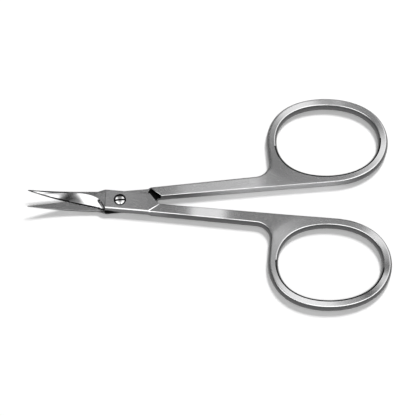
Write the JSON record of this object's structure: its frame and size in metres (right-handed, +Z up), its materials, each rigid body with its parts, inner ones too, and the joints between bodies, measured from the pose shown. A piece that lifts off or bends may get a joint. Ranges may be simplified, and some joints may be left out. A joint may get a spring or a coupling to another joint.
{
  "type": "cuticle scissors",
  "caption": "Small forged steel scissors with fine upturned blades, a flat lap joint on a slotted pivot screw, slender shanks and oval finger rings, for trimming cuticles.",
  "frame": {"origin": "on the pivot axis, in the plane that the tool lies on, at the middle of the pivot screw's lower end", "axes": "+X from the pivot towards the finger rings, midway between the halves; +Z up along the pivot axis, out of the screw's slotted head; +Y towards the lower half's finger ring"},
  "size_m": [0.089, 0.0558, 0.0041],
  "materials": {
    "half_steel": "satin, finely brushed along the tool, with a polished blade bevel",
    "screw_steel": "turned and bright"
  },
  "bodies": {
    "lower_body": {"lower_half": "half_steel", "pivot_screw": "screw_steel"},
    "upper_body": {"upper_half": "half_steel"}
  },
  "joints": [
    {"name": "pivot", "type": "hinge", "parent": "lower_body", "child": "upper_body", "pos_m": [0, 0, 0], "axis": [0, 0, -1], "range_deg": [-10.3, 50]}
  ]
}
